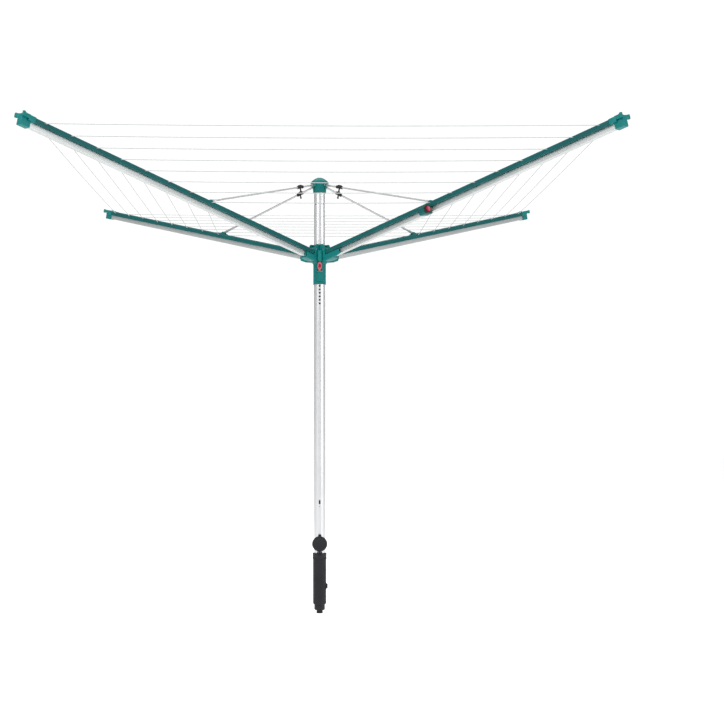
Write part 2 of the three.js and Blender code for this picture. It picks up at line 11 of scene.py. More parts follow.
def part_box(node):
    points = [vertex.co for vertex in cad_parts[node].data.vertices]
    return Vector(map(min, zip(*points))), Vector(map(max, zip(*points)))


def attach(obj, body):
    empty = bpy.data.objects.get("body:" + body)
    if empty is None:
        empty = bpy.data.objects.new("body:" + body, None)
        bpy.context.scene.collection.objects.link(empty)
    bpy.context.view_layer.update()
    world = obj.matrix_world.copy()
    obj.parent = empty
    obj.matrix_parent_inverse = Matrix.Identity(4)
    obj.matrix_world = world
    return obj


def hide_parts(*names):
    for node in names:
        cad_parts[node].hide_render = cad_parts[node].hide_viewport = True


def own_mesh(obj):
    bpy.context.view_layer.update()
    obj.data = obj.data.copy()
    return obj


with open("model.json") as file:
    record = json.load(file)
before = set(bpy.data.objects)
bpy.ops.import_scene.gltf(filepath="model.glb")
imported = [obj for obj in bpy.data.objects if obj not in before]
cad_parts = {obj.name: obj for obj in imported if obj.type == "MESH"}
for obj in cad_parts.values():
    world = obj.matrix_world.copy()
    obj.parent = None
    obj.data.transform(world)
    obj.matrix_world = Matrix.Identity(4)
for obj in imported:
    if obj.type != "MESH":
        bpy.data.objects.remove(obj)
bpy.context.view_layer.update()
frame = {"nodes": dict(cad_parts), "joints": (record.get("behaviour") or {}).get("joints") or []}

MM = 0.001  # outlines below are written in millimetres

# ---------- camera: nearly straight in front, at the height of the hips ----------

SENSOR = 36
FOCAL = 66.133  # millimetres, as the sensor
DISTANCE = 5.938  # to the mast axis
EYE_HEIGHT = 0.839
ORBIT = math.radians(0.69)
SHIFT_RIGHT = 0.05856  # in widths of the picture: the object stands left of its middle
SHIFT_UP = 0.08702


def add_camera():
    data = bpy.data.cameras.new("camera")
    data.sensor_width = SENSOR
    data.lens = FOCAL
    data.shift_x = SHIFT_RIGHT
    data.shift_y = SHIFT_UP
    camera = bpy.data.objects.new("camera", data)
    bpy.context.scene.collection.objects.link(camera)
    camera.location = (-DISTANCE * math.sin(ORBIT), -DISTANCE * math.cos(ORBIT), EYE_HEIGHT)
    camera.rotation_euler = (math.pi / 2, 0, -ORBIT)
    bpy.context.scene.camera = camera


# ---------- pivots, from the frame ----------

JOINTS = {joint["name"]: joint for joint in frame["joints"]}
ARMS = ("front_left", "front_right", "back_right", "back_left")
FOLD = "fold"
LOCK_ARM = "front_right"


def strut_joint(arm):
    return JOINTS[FOLD if arm == "front_left" else f"strut_fold_{arm}"]


def span(node):
    """The lowest and highest corners of a CAD node, in millimetres."""
    low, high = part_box(node)
    return low / MM, high / MM


def pivot_matrix(origin, toward, across):
    """A frame at origin: x toward a point, y along the pivot axis, z square to both."""
    x = (toward - origin).normalized()
    y = Vector(across).normalized()
    z = x.cross(y)
    rotation = Matrix((x, y, z)).transposed().to_4x4()
    return Matrix.Translation(origin) @ rotation


def crown_pivot(arm):
    return Vector(strut_joint(arm)["pos_m"])


def bracket_pivot(arm):
    return Vector(JOINTS[f"arm_fold_{arm}"]["pos_m"])


HUB_HEIGHT = Vector(JOINTS["hub_level"]["pos_m"]).z
PIVOT_R = Vector(JOINTS["hub_level"]["pos_m"]).xy.length


def root_pivot(arm):
    outward = bracket_pivot(arm).xy.normalized() * PIVOT_R
    return Vector((outward.x, outward.y, HUB_HEIGHT))


def arm_frame(arm):
    return pivot_matrix(root_pivot(arm), bracket_pivot(arm), strut_joint(arm)["axis"])


def strut_frame(arm):
    return pivot_matrix(crown_pivot(arm), bracket_pivot(arm), strut_joint(arm)["axis"])


def azimuth(arm):
    return math.atan2(bracket_pivot(arm).y, bracket_pivot(arm).x)


ROOT_TO_BRACKET = bracket_pivot(ARMS[0]) - root_pivot(ARMS[0])
TILT = math.asin(ROOT_TO_BRACKET.z / ROOT_TO_BRACKET.length)
COS = math.cos(TILT)
SIN = math.sin(TILT)
ARM_LENGTH = ROOT_TO_BRACKET.length / MM
CROWN_Z = crown_pivot(ARMS[0]).z / MM
R0 = PIVOT_R / MM

# ---------- materials ----------


def node_material(name):
    material = bpy.data.materials.new(name)
    material.use_nodes = True
    nodes = material.node_tree.nodes
    return material, nodes, material.node_tree.links, nodes["Principled BSDF"]


def noise(nodes, links, scale, stretch=(1, 1, 1), detail=3):
    """Noise over the piece's own coordinates, stretched along its axes."""
    place = nodes.new("ShaderNodeTexCoord")
    mapping = nodes.new("ShaderNodeMapping")
    mapping.inputs["Scale"].default_value = stretch
    texture = nodes.new("ShaderNodeTexNoise")
    texture.inputs["Scale"].default_value = scale
    texture.inputs["Detail"].default_value = detail
    links.new(place.outputs["Object"], mapping.inputs["Vector"])
    links.new(mapping.outputs["Vector"], texture.inputs["Vector"])
    return texture.outputs["Fac"]


def between(nodes, links, factor, low, high):
    """A value that runs from low to high as the noise does."""
    spread = nodes.new("ShaderNodeMapRange")
    spread.inputs["From Min"].default_value = 0.3
    spread.inputs["From Max"].default_value = 0.7
    spread.inputs["To Min"].default_value = low
    spread.inputs["To Max"].default_value = high
    links.new(factor, spread.inputs["Value"])
    return spread.outputs["Result"]


def tint(nodes, links, factor, dark, light):
    ramp = nodes.new("ShaderNodeValToRGB")
    ramp.color_ramp.elements[0].position = 0.3
    ramp.color_ramp.elements[1].position = 0.7
    ramp.color_ramp.elements[0].color = (*dark, 1)
    ramp.color_ramp.elements[1].color = (*light, 1)
    links.new(factor, ramp.inputs["Fac"])
    return ramp.outputs["Color"]


def bump(nodes, links, shader, height, strength, depth):
    node = nodes.new("ShaderNodeBump")
    node.inputs["Strength"].default_value = strength
    node.inputs["Distance"].default_value = depth
    links.new(height, node.inputs["Height"])
    links.new(node.outputs["Normal"], shader.inputs["Normal"])


def plastic(name, color, roughness, grain=900, depth=0.00006, spread=0.12, stretch=(1, 1, 1)):
    """Moulded plastic: a fine grain, slightly uneven colour and gloss."""
    material, nodes, links, shader = node_material(name)
    broad = noise(nodes, links, 9, detail=4)
    fine = noise(nodes, links, grain, stretch)
    dark = [c * (1 - spread) for c in color]
    light = [min(1, c * (1 + spread)) for c in color]
    links.new(tint(nodes, links, broad, dark, light), shader.inputs["Base Color"])
    mid = noise(nodes, links, 60, detail=5)
    links.new(between(nodes, links, mid, roughness - 0.07, roughness + 0.09), shader.inputs["Roughness"])
    shader.inputs["Specular IOR Level"].default_value = 0.22
    bump(nodes, links, shader, fine, 0.12, depth)
    return material


def brushed(name, color, roughness, along):
    """Anodised aluminium with fine draw lines that run along one of the piece's axes."""
    material, nodes, links, shader = node_material(name)
    shader.inputs["Metallic"].default_value = 1
    stretch = [0.5 if axis == along else 60 for axis in "xyz"]
    lines = noise(nodes, links, 9, stretch, detail=2)
    broad = noise(nodes, links, 5, detail=3)
    dark = [c * 0.93 for c in color]
    links.new(tint(nodes, links, broad, dark, color), shader.inputs["Base Color"])
    links.new(between(nodes, links, lines, roughness - 0.06, roughness + 0.1), shader.inputs["Roughness"])
    return material


COVER = plastic("cover_green_extruded", (0.0001, 0.075, 0.075), 0.5, 500, 0.00004, 0.12, (0.05, 1, 1))
GREEN = plastic("green_moulded", (0.0001, 0.145, 0.138), 0.46)
CHARCOAL = plastic("charcoal_moulded", (0.012, 0.012, 0.015), 0.5, 700, 0.0001, 0.2)
# black moulded plastic; on the mast's bore faces the same black is painted shade
BLACK_AND_BORE_SHADE = plastic("black_moulded_and_bore_shade", (0.01, 0.01, 0.011), 0.42, 900, 0.00006, 0.25)
RED = plastic("red_moulded", (0.3, 0.008, 0.025), 0.3, 900, 0.00003, 0.1)
# pale red moulded plastic on the release pad; on the lock knob's face disc it is a painted highlight
PALE_RED_AND_HIGHLIGHT = plastic("pale_red_moulded_and_highlight", (0.38, 0.12, 0.14), 0.34, 900, 0.00003, 0.1)
MAST_METAL = brushed("mast_aluminium", (0.66, 0.665, 0.67), 0.38, "z")
ARM_METAL = brushed("arm_aluminium", (0.52, 0.54, 0.535), 0.5, "x")
STRUT_METAL = brushed("strut_aluminium", (0.5, 0.5, 0.505), 0.42, "x")
STEEL = brushed("plated_steel", (0.5, 0.5, 0.51), 0.3, "z")
LINE = plastic("coated_line", (0.4, 0.42, 0.415), 0.55, 2500, 0.0001, 0.06)

# ---------- outlines ----------


def arc(centre, radius, start, end, steps):
    """Points on an arc, in degrees, both ends included."""
    found = []
    for i in range(steps + 1):
        t = math.radians(start + (end - start) * i / steps)
        found.append((centre[0] + radius * math.cos(t), centre[1] + radius * math.sin(t)))
    return found


def circle(radius, steps=64, centre=(0, 0)):
    return arc(centre, radius, 0, 360 * (steps - 1) / steps, steps - 1)


def rounded(corners, steps=5):
    """A closed outline from (a, b, radius) corners, each rounded to its radius."""
    found = []
    count = len(corners)
    for i, (a, b, radius) in enumerate(corners):
        here = Vector((a, b))
        before = Vector(corners[i - 1][:2]) - here
        after = Vector(corners[(i + 1) % count][:2]) - here
        if radius <= 0:
            found.append((a, b))
            continue
        turn = before.angle(after)
        reach = min(radius / math.tan(turn / 2), 0.48 * before.length, 0.48 * after.length)
        start = here + before.normalized() * reach
        end = here + after.normalized() * reach
        for step in range(steps + 1):
            t = step / steps
            point = start * (1 - t) ** 2 + here * 2 * t * (1 - t) + end * t**2
            found.append((point.x, point.y))
    return found


# ---------- mesh building ----------

TO_AXIS = {
    "x": lambda a, b, t: (t, a, b),
    "y": lambda a, b, t: (a, t, b),
    "z": lambda a, b, t: (a, b, t),
}


def object_from(name, points, faces):
    """A closed mesh object from points in millimetres, with its faces turned out."""
    mesh = bpy.data.meshes.new(name)
    mesh.from_pydata([Vector(p) * MM for p in points], [], faces)
    made = bmesh.new()
    made.from_mesh(mesh)
    bmesh.ops.recalc_face_normals(made, faces=made.faces)
    made.to_mesh(mesh)
    made.free()
    thing = bpy.data.objects.new(name, mesh)
    bpy.context.scene.collection.objects.link(thing)
    return thing


def stack(name, rings, closed_ends=True, loop=False):
    """A skin over rings of points, all with the same count."""
    count = len(rings[0])
    points = [p for ring in rings for p in ring]
    faces = []
    last = len(rings) if loop else len(rings) - 1
    for i in range(last):
        here = i * count
        there = ((i + 1) % len(rings)) * count
        for k in range(count):
            n = (k + 1) % count
            faces.append((here + k, here + n, there + n, there + k))
    if closed_ends and not loop:
        faces.append(tuple(range(count)))
        faces.append(tuple(range((len(rings) - 1) * count, len(rings) * count)))
    return object_from(name, points, faces)


def prism(name, outline, axis, low, high, rim=0.0):
    """An outline pushed from low to high, with its two rims rounded over."""
    spot = TO_AXIS[axis]
    made = stack(name, [[spot(a, b, t) for a, b in outline] for t in (low, high)])
    return bevelled(made, rim) if rim else made


def lathe(name, profile, axis="z", centre=(0, 0), steps=72):
    """A (radius, height) profile turned about an axis through centre; it may close on itself."""
    spot = TO_AXIS[axis]
    rings = []
    for i in range(steps):
        t = 2 * math.pi * i / steps
        ring = [
            spot(centre[0] + r * math.cos(t), centre[1] + r * math.sin(t), h)
            for r, h in profile
        ]
        rings.append(ring)
    made = stack(name, rings, loop=True)
    tidy = bmesh.new()
    tidy.from_mesh(made.data)
    bmesh.ops.remove_doubles(tidy, verts=tidy.verts, dist=1e-6)
    bmesh.ops.dissolve_degenerate(tidy, edges=tidy.edges, dist=1e-7)
    bmesh.ops.recalc_face_normals(tidy, faces=tidy.faces)
    tidy.to_mesh(made.data)
    tidy.free()
    return made


def applied(thing):
    """Applies the modifiers of thing to its mesh."""
    graph = bpy.context.evaluated_depsgraph_get()
    mesh = bpy.data.meshes.new_from_object(thing.evaluated_get(graph))
    thing.modifiers.clear()
    old = thing.data
    thing.data = mesh
    bpy.data.meshes.remove(old)
    return thing


def bevelled(thing, width, segments=3, angle=35):
    modifier = thing.modifiers.new("rim", "BEVEL")
    modifier.width = width * MM
    modifier.segments = segments
    modifier.limit_method = "ANGLE"
    modifier.angle_limit = math.radians(angle)
    return applied(thing)


def boolean(thing, others, operation):
    for other in others:
        modifier = thing.modifiers.new("cut", "BOOLEAN")
        modifier.operation = operation
        modifier.solver = "EXACT"
        modifier.object = other
    bpy.context.view_layer.update()
    applied(thing)
    for other in others:
        mesh = other.data
        bpy.data.objects.remove(other)
        bpy.data.meshes.remove(mesh)
    return thing


def joined(thing, *others):
    return boolean(thing, others, "UNION")


def without(thing, *others):
    return boolean(thing, others, "DIFFERENCE")


def rod(axis, radius, low, high, centre=(0, 0), steps=32, rim=0.0):
    return prism("rod", circle(radius, steps, centre), axis, low, high, rim)


def block(x, y, z, rim=0.0):
    outline = [(x[0], y[0]), (x[1], y[0]), (x[1], y[1]), (x[0], y[1])]
    return prism("block", outline, "z", z[0], z[1], rim)


def turn(thing, angle):
    thing.data.transform(Matrix.Rotation(angle, 4, "Z"))
    return thing


def smooth(thing, angle=32):
    for face in thing.data.polygons:
        face.use_smooth = True
    thing.data.set_sharp_from_angle(angle=math.radians(angle))
    return thing


def piece(thing, name, material, body, matrix=None, replaces=()):
    """Names, places and finishes a piece, and lets it ride on its body."""
    thing.name = name
    thing.data.name = name
    thing.data.materials.clear()
    thing.data.materials.append(material)
    smooth(thing)
    if matrix is not None:
        thing.matrix_world = matrix
    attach(thing, body)
    if replaces:
        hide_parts(*replaces)
    return thing


def copied(thing):
    twin = bpy.data.objects.new(thing.name, thing.data.copy())
    bpy.context.scene.collection.objects.link(twin)
    return twin


def on_each(thing, name, material, body, place):
    """One copy of a piece for each arm, standing for the CAD node of the same name."""
    for arm in ARMS:
        twin = copied(thing)
        piece(twin, f"{name}_shape_{arm}", material, f"{body}_{arm}", place(arm), (f"{name}_{arm}",))
    bpy.data.objects.remove(thing)


# ---------- ground socket ----------

SOCKET_BORE = 25.4
SOCKET_FLOOR = 46
LID_PIN = (-35.5, 274)
LID_PIN_HOLE = 1.8
RIB_COUNT = 12


def socket_shape():
    body_top = span("socket_collar")[0].z - 0.3
    neck_top = span("ground_socket")[1].z
    shell = lathe("socket", [
        (0, 0), (12, 0), (13.4, 0.6), (14, 2), (14, 13.4), (21, 14.4), (23, 15.4), (24, 18),
        (24, 40), (28, 41.2), (29.5, 43), (29.5, body_top - 1), (28.6, body_top),
        (28.4, body_top), (28.4, neck_top), (SOCKET_BORE, neck_top), (SOCKET_BORE, SOCKET_FLOOR),
        (0, SOCKET_FLOOR),
    ], steps=96)
    boss = prism("boss", [(106, 25), (136, 25), (130, 36), (112, 36)], "y", -8, 8, 1)
    boss.data.transform(Matrix(((0, 0, 1, 0), (0, 1, 0, 0), (1, 0, 0, 0), (0, 0, 0, 1))))
    screw_seat = rod("x", 3.2, 34.6, 40, (0, 121))
    ribs = []
    for step in range(RIB_COUNT):
        rib = block((27, 30.1), (-1.1, 1.1), (58, body_top - 14), 0.5)
        ribs.append(turn(rib, math.radians((step + 0.5) * 360 / RIB_COUNT)))
    shell = joined(shell, boss, *ribs)
    bore = rod("z", SOCKET_BORE, SOCKET_FLOOR, neck_top + 5, steps=96)
    return without(shell, screw_seat, bore)


def collar_shape():
    low, high = span("socket_collar")[0].z, 269
    ring = lathe("collar", [
        (28.7, low), (30.4, low), (31.2, low + 0.8), (31.2, low + 9), (30.6, low + 10), (30.6, low + 12),
        (31.2, low + 13), (31.2, high - 1.4), (30.4, high - 0.3), (29.4, high), (SOCKET_BORE, high),
        (SOCKET_BORE, high - 2.7), (28.7, high - 2.7),
    ], steps=96)
    ear = rounded([
        (-28.5, 256, 0), (-36, 258, 3), (-39.5, 271, 3), (-39, 276.5, 3), (-35.5, 278, 3), (-31.8, 276, 2),
        (-31.2, 267, 1), (-28.5, 267, 0),
    ])
    ears = [prism("ear", ear, "x", low_x, low_x + 4.5, 0.5) for low_x in (-11.5, 7)]
    hinge = rod("x", LID_PIN_HOLE, -12, 12, LID_PIN)
    return without(joined(ring, *ears), hinge)


LID_CENTRE = 311


def lid_shape():
    """The lid stands open in front of the mast, its plug ring towards the mast."""
    centre = (0, LID_CENTRE)
    disc = lathe("lid", [
        (0, -33.4), (21, -33.4), (23, -34.2), (31.5, -34.2), (33.4, -33.8), (34, -32.8), (34, -32.2),
        (33.2, -31.2), (32, -31), (22, -31), (22, -28.9), (21.4, -28.4), (20.1, -28.4), (19.5, -29),
        (19.5, -31), (0, -31),
    ], "y", centre, 96)
    tab_outline = rounded([(-7.5, 336, 0), (7.5, 336, 0), (6.5, 353, 3), (-6.5, 353, 3)])
    tab = prism("tab", tab_outline, "y", -34.2, -31, 0.6)
    neck = block((-6.3, 6.3), (-35, -31), (274, 284), 0.5)
    barrel = rod("x", 3.6, -6.3, 6.3, LID_PIN, rim=0.4)
    grips = [block((-4.5, 4.5), (-34.9, -34), (z, z + 1.2), 0.3) for z in (344, 346.8, 349.6)]
    return without(joined(disc, tab, neck, barrel, *grips), rod("x", LID_PIN_HOLE, -12, 12, LID_PIN))


# ---------- mast ----------

MAST_R = 25
GROOVE_HALF = 4.5
GROOVE_DEPTH = 1.4
MAST_WALL = 3
HOLE_R = 4
HOLE_LOWEST = 1380
HOLE_PITCH = 15.5
HOLE_COUNT = 12
RIVET_HOLE_R = 3.2
RIVET_HOLE_Z = 1823


def mast_section():
    """A round tube with a shallow flat groove along each of its four sides."""
    outline = []
    half = math.asin(GROOVE_HALF / MAST_R)
    rim = MAST_R * math.cos(half)
    for quarter in range(4):
        start = quarter * math.pi / 2
        floor = [(rim - GROOVE_DEPTH, -GROOVE_HALF + 0.5), (rim - GROOVE_DEPTH, GROOVE_HALF - 0.5)]
        outline += [
            (u * math.cos(start) - v * math.sin(start), u * math.sin(start) + v * math.cos(start))
            for u, v in floor
        ]
        lead = math.degrees(start + half)
        outline += arc((0, 0), MAST_R, lead, lead + 90 - 2 * math.degrees(half), 16)
    return outline


def mast_shape():
    low, high = (corner.z for corner in span("mast_tube"))
    tube = prism("mast", mast_section(), "z", low, high)
    bore = rod("z", MAST_R - MAST_WALL, low - 1, high + 1, steps=64)
    heights = [HOLE_LOWEST + i * HOLE_PITCH for i in range(HOLE_COUNT)]
    latch_holes = [rod("y", HOLE_R, -30, 0, (0, height), 24) for height in heights]
    slot_outline = rounded([(-3.5, 487, 3.4), (3.5, 487, 3.4), (3.5, 505, 3.4), (-3.5, 505, 3.4)], 6)
    slot = prism("slot", slot_outline, "y", -30, 0)
    vent = rod("y", 1.6, -30, 0, (0, 477), 16)
    rivets = [turn(rod("x", RIVET_HOLE_R, 0, 30, (0, RIVET_HOLE_Z), 20), azimuth(arm)) for arm in ARMS]
    return without(tube, bore, *latch_holes, slot, vent, *rivets)


# ---------- crown ----------

BRIM_BOTTOM = CROWN_Z + 8
BRIM_TOP = BRIM_BOTTOM + 9
SKIRT_BOTTOM = 1873
FLUTES = 30
FLUTE_DEPTH = 1.9


def skirt_shape():
    """The tapered skirt under the brim, with upright flutes."""
    heights = [(28, 0), (28.6, 1.2), (29.6, 12), (31.2, 22), (33.8, 32), (35.5, BRIM_BOTTOM - SKIRT_BOTTOM)]
    steps = FLUTES * 6
    rings = []
    for radius, up in heights:
        depth = 0 if up < 1 else FLUTE_DEPTH
        ring = []
        for i in range(steps):
            t = 2 * math.pi * i / steps
            here = radius - depth * (0.5 + 0.5 * math.cos(2 * math.pi * i * FLUTES / steps))
            ring.append((here * math.cos(t), here * math.sin(t), SKIRT_BOTTOM + up))
        rings.append(ring)
    return stack("skirt", rings)


def crown_shape():
    brim = lathe("brim", [
        (0, BRIM_BOTTOM - 2), (35.4, BRIM_BOTTOM - 2), (36.6, BRIM_BOTTOM), (39.6, BRIM_BOTTOM + 0.6),
        (40.5, BRIM_BOTTOM + 1.8), (40.5, BRIM_TOP - 1.8), (39.8, BRIM_TOP - 0.5), (38.8, BRIM_TOP),
        (0, BRIM_TOP),
    ], steps=96)
    lug = [
        (27, CROWN_Z - 9), (38, CROWN_Z - 5.5), (43, CROWN_Z - 3), (43, CROWN_Z + 3),
        (40, BRIM_BOTTOM + 4), (27, BRIM_BOTTOM + 4),
    ]
    lugs = [turn(prism("lug", lug, "y", -8.5, 8.5, 0.9), azimuth(arm)) for arm in ARMS]
    slots = []
    for arm in ARMS:
        slots.append(turn(block((27, 50), (-3.2, 3.2), (SKIRT_BOTTOM - 9, CROWN_Z + 6.5)), azimuth(arm)))
        slots.append(turn(rod("y", 2.8, -9, 9, (R0, CROWN_Z), 24), azimuth(arm)))
    bore = rod("z", MAST_R + 0.3, SKIRT_BOTTOM - 5, span("mast_tube")[1].z + 0.3, steps=72)
    return without(joined(skirt_shape(), brim, *lugs), bore, *slots)


def cap_shape():
    """A shallow dome whose section is a parabola, on a narrow rim."""
    low = BRIM_TOP + 0.3
    rise, wide = 20.3, 38.5
    heights = (1.5, 3, 5, 7, 9, 11, 13, 15, 16.8, 18.3, 19.4, 20)
    dome = [(wide * math.sqrt(1 - h / rise), low + h) for h in heights]
    return lathe("cap", [(0, low), (38.2, low), (38.6, low + 0.5), *dome, (0, low + rise)], steps=96)


# ---------- hub, with its origin on the mast axis at the height of the arm roots ----------

SLOPE = SIN / COS
ARM_BOTTOM = -48
COVER_BOTTOM = -27.5
SEAT_HALF = 16.7
CHEEK = 4
SEAT_FOOT = -51
LEVER_Y, LEVER_Z = -32.5, -97
LEVER_PIN_HOLE = 2.3
PAD_Z = LEVER_Z + 23


def arm_line(r, depth):
    return (r - R0) * SLOPE + depth / COS


def under(r):
    return arm_line(r, ARM_BOTTOM) - 1.2


def beside(r):
    return arm_line(r, COVER_BOTTOM) - 1.2


def cheek_outline(reach, spike=()):
    return rounded([
        (20, SEAT_FOOT, 0), (34, SEAT_FOOT, 4), (70, under(70) - 7, 6), (reach, under(reach) - 4, 1.5),
        *spike, (reach, beside(reach), 2), (53, beside(53), 3), (51.5, -8, 3), (50, 5, 4), (46, 12, 4),
        (40, 22.5, 2), (34, 23, 1), (20, 23, 0),
    ])


def seat_parts(arm):
    """The floor under an arm and a cheek on each side of it; the lock's arm has one longer cheek."""
    outer = SEAT_HALF + CHEEK
    plain = prism("cheek", cheek_outline(100), "y", SEAT_HALF, outer, 0.8)
    spike = [(137, under(137) - 3, 0.5), (155, under(155) + 1, 1.5), (137, under(137) + 9, 1)]
    outline = cheek_outline(137, spike) if arm == LOCK_ARM else cheek_outline(100)
    other = prism("cheek", outline, "y", -outer, -SEAT_HALF, 0.8)
    floor = prism("floor", [
        (20, SEAT_FOOT), (34, SEAT_FOOT), (70, under(70) - 7), (100, under(100) - 5), (100, under(100)),
        (58, under(58)), (20, -47),
    ], "y", -SEAT_HALF - 1, SEAT_HALF + 1, 0.7)
    return [plain, other, floor]


def handle_outline(extra):
    """Plan of the grip bar, whose back fits the corner between the two front seats."""
    corner = (SEAT_HALF + CHEEK) * math.sqrt(2) + 0.5 - extra
    half = 9.5 + extra
    front = 47.5 + extra
    return rounded([
        (0, -corner, 0), (-half, -corner - half, 0), (-half, -front, 4), (half, -front, 4),
        (half, -corner - half, 0),
    ])


def hub_shape():
    sleeve = lathe("hub", [
        (22, -154), (27.4, -154), (28.3, -153), (28.3, 20.8), (27.3, 22), (22, 22),
    ], steps=96)
    flare = lathe("flare", [
        (0, -65), (28, -65), (32, -59), (36, -49), (36.5, -45), (36, -41), (0, -41),
    ], steps=96)
    parts = [flare]
    for arm in ARMS:
        parts += [turn(part, azimuth(arm)) for part in seat_parts(arm)]
    housing = rounded([
        (-14.5, -22, 0), (-14.5, -34, 4), (-10, -37, 4), (10, -37, 4), (14.5, -34, 4), (14.5, -22, 0),
    ])
    parts.append(prism("housing", housing, "z", -141, -49, 0.9))
    hub = joined(sleeve, *parts)
    cuts = [
        rod("z", MAST_R + 0.5, -160, 30, steps=96),
        block((-11, 11), (-45, -28), (LEVER_Z - 8, LEVER_Z + 45.5), 1),
        block((-5.5, 5.5), (-45, -30), (LEVER_Z - 26, LEVER_Z)),
        block((-4.5, 4.5), (-45, -20), (LEVER_Z - 24, LEVER_Z - 12)),
        rod("x", LEVER_PIN_HOLE, -13.5, 13.5, (LEVER_Y, LEVER_Z), 24),
        prism("seat", handle_outline(0.3), "z", -53.3, -4.7),
    ]
    for arm in ARMS:
        cuts.append(turn(rod("y", 3.3, -25, 25, (R0, 0), 24), azimuth(arm)))
    return without(hub, *cuts)


def handle_shape():
    bar = prism("handle", handle_outline(0), "z", -53, -5, 1.2)
    slant = prism("slant", [(-62, 1), (-62, -17), (-36, 1)], "x", -15, 15)
    return without(bar, slant)


def release_cover_shape():
    """A thin raised plate below the release pad, over the latch."""
    outline = rounded([
        (-9.5, -140, 3), (9.5, -140, 3), (9.5, -103, 4), (6, -98.5, 2), (-6, -98.5, 2), (-9.5, -103, 4),
    ])
    plate = prism("plate", outline, "y", -39.2, -37, 0.7)
    dish_outline = rounded([(-6, -136, 2), (6, -136, 2), (6, -119, 2), (-6, -119, 2)])
    dish = prism("dish", dish_outline, "y", -42, -38.7)
    return without(plate, dish)


def oval(name, half_width, half_height, layers, steps):
    """Upright oval rings round the middle of the pad, from (y, share of the full size) layers."""
    rings = []
    for y, share in layers:
        ring = []
        for i in range(steps):
            t = 2 * math.pi * i / steps
            ring.append((half_width * share * math.sin(t), y, PAD_Z + half_height * share * math.cos(t)))
        rings.append(ring)
    return stack(name, rings)


def lever_shape():
    """The rocking release lever: an oval pad above its pivot and the latch nose below it."""
    pad = oval("lever", 10.4, 20.5, [
        (-34.5, 0.93), (-35.3, 1), (-38, 1), (-39.2, 0.95), (-39.9, 0.84), (-40, 0.7), (-39.5, 0.5),
        (-39, 0.3),
    ], 48)
    stem = block((-4.5, 4.5), (-36, LEVER_Y), (LEVER_Z, LEVER_Z + 10))
    knuckle = rod("x", 4.2, -4.5, 4.5, (LEVER_Y, LEVER_Z), rim=0.4)
    tail = block((-4.5, 4.5), (-34, -31.5), (LEVER_Z - 22, LEVER_Z), 0.5)
    nose = block((-2.8, 2.8), (-32, -MAST_R - 0.4), (LEVER_Z - 21, LEVER_Z - 15.5), 0.5)
    pin_hole = rod("x", LEVER_PIN_HOLE, -6, 6, (LEVER_Y, LEVER_Z), 24)
    return without(joined(pad, stem, knuckle, tail, nose), pin_hole)


def lever_dot_shape():
    """The darker raised middle of the oval pad."""
    return oval("dot", 6.2, 9, [(-38.4, 1), (-39.6, 1), (-39.95, 0.8)], 40)


# ---------- struts, in their own frame: x from the crown pivot to the arm pivot ----------

STRUT_R = 4.5
TONGUE_HALF = 2.6
TONGUE_R = 4.3
CLIP_X = 87
CLIP_BORE = 4.8
STRUT_HOLE = 2.8


def strut_shape():
    """A round tube pressed flat at both ends, where the pins go through."""
    ends = [(-4.25, 0.6), (-3.9, 1.8), (-3.2, 2.9), (-2, 3.8), (0, TONGUE_R), (6, 4.6), (14, 5)]
    stations = [(x, TONGUE_HALF, height, 5.0) for x, height in ends]
    for step in range(1, 7):
        t = step / 6
        ease = t * t * (3 - 2 * t)
        stations.append((
            14 + 20 * t,
            TONGUE_HALF + (STRUT_R - TONGUE_HALF) * ease,
            5 + (STRUT_R - 5) * ease,
            5 - 3 * ease,
        ))
    stations += [(ARM_LENGTH - x, half, height, power) for x, half, height, power in reversed(stations)]
    steps = 32
    rings = []
    for x, half, height, power in stations:
        ring = []
        for i in range(steps):
            c, s = math.cos(2 * math.pi * i / steps), math.sin(2 * math.pi * i / steps)
            y = half * math.copysign(abs(c) ** (2 / power), c)
            z = height * math.copysign(abs(s) ** (2 / power), s)
            ring.append((x, y, z))
        rings.append(ring)
    tube = stack("strut", rings)
    return without(tube, *[rod("y", STRUT_HOLE, -6, 6, (x, 0), 24) for x in (0, ARM_LENGTH)])


def clip_shape():
    """A snap-on barrel with a thumb tab on top and a peg that hangs from it."""
    barrel = lathe("clip", [
        (CLIP_BORE, CLIP_X - 17), (6.6, CLIP_X - 17), (7.4, CLIP_X - 16), (7.4, CLIP_X - 12),
        (6.4, CLIP_X - 10), (6.4, CLIP_X + 10), (7.4, CLIP_X + 12), (7.4, CLIP_X + 16), (6.6, CLIP_X + 17),
        (CLIP_BORE, CLIP_X + 17),
    ], "x", (0, 0), 48)
    peg = lathe("peg", [
        (0, -21.5), (3.6, -21.4), (4.8, -20.6), (5, -19.6), (4.6, -18.4), (3.6, -17.4), (3.2, -15),
        (3.2, -9), (4.4, -5.4), (0, -5.4),
    ], "z", (CLIP_X, 0), 32)
    tab = prism("tab", rounded([
        (CLIP_X - 10, 5.4, 0), (CLIP_X + 10, 5.4, 0), (CLIP_X + 8, 10, 2), (CLIP_X - 8, 10, 2),
    ]), "y", -3, 3, 0.7)
    return without(joined(barrel, peg, tab), rod("x", CLIP_BORE, CLIP_X - 18, CLIP_X + 18, steps=48))


# ---------- arms, in their own frame: x along the arm, z square to it, origin at the arm root ----------

COVER_TOP = -7.5
COVER_HALF = 25
COVER_WALL = 2.2
PROFILE_HALF = 10.8
PROFILE_TOP = COVER_BOTTOM - 0.3
PROFILE_WALL = 1.8
COVER_START, COVER_END = 18, 1501
PROFILE_START, PROFILE_END = 40, 1515
LINE_Z = -18
LINE_LOOPS = 8
LOOP_R_OUTER = 1486
LOOP_PITCH = 115.4


def both_sides(half):
    """A closed list of (across, up, radius) corners from its right half."""
    return [*half, *[(-a, b, radius) for a, b, radius in reversed(half)]]


def loop_radius(loop):
    return LOOP_R_OUTER - loop * LOOP_PITCH


def loop_x(loop):
    return (loop_radius(loop) - R0 + LINE_Z * SIN) / COS


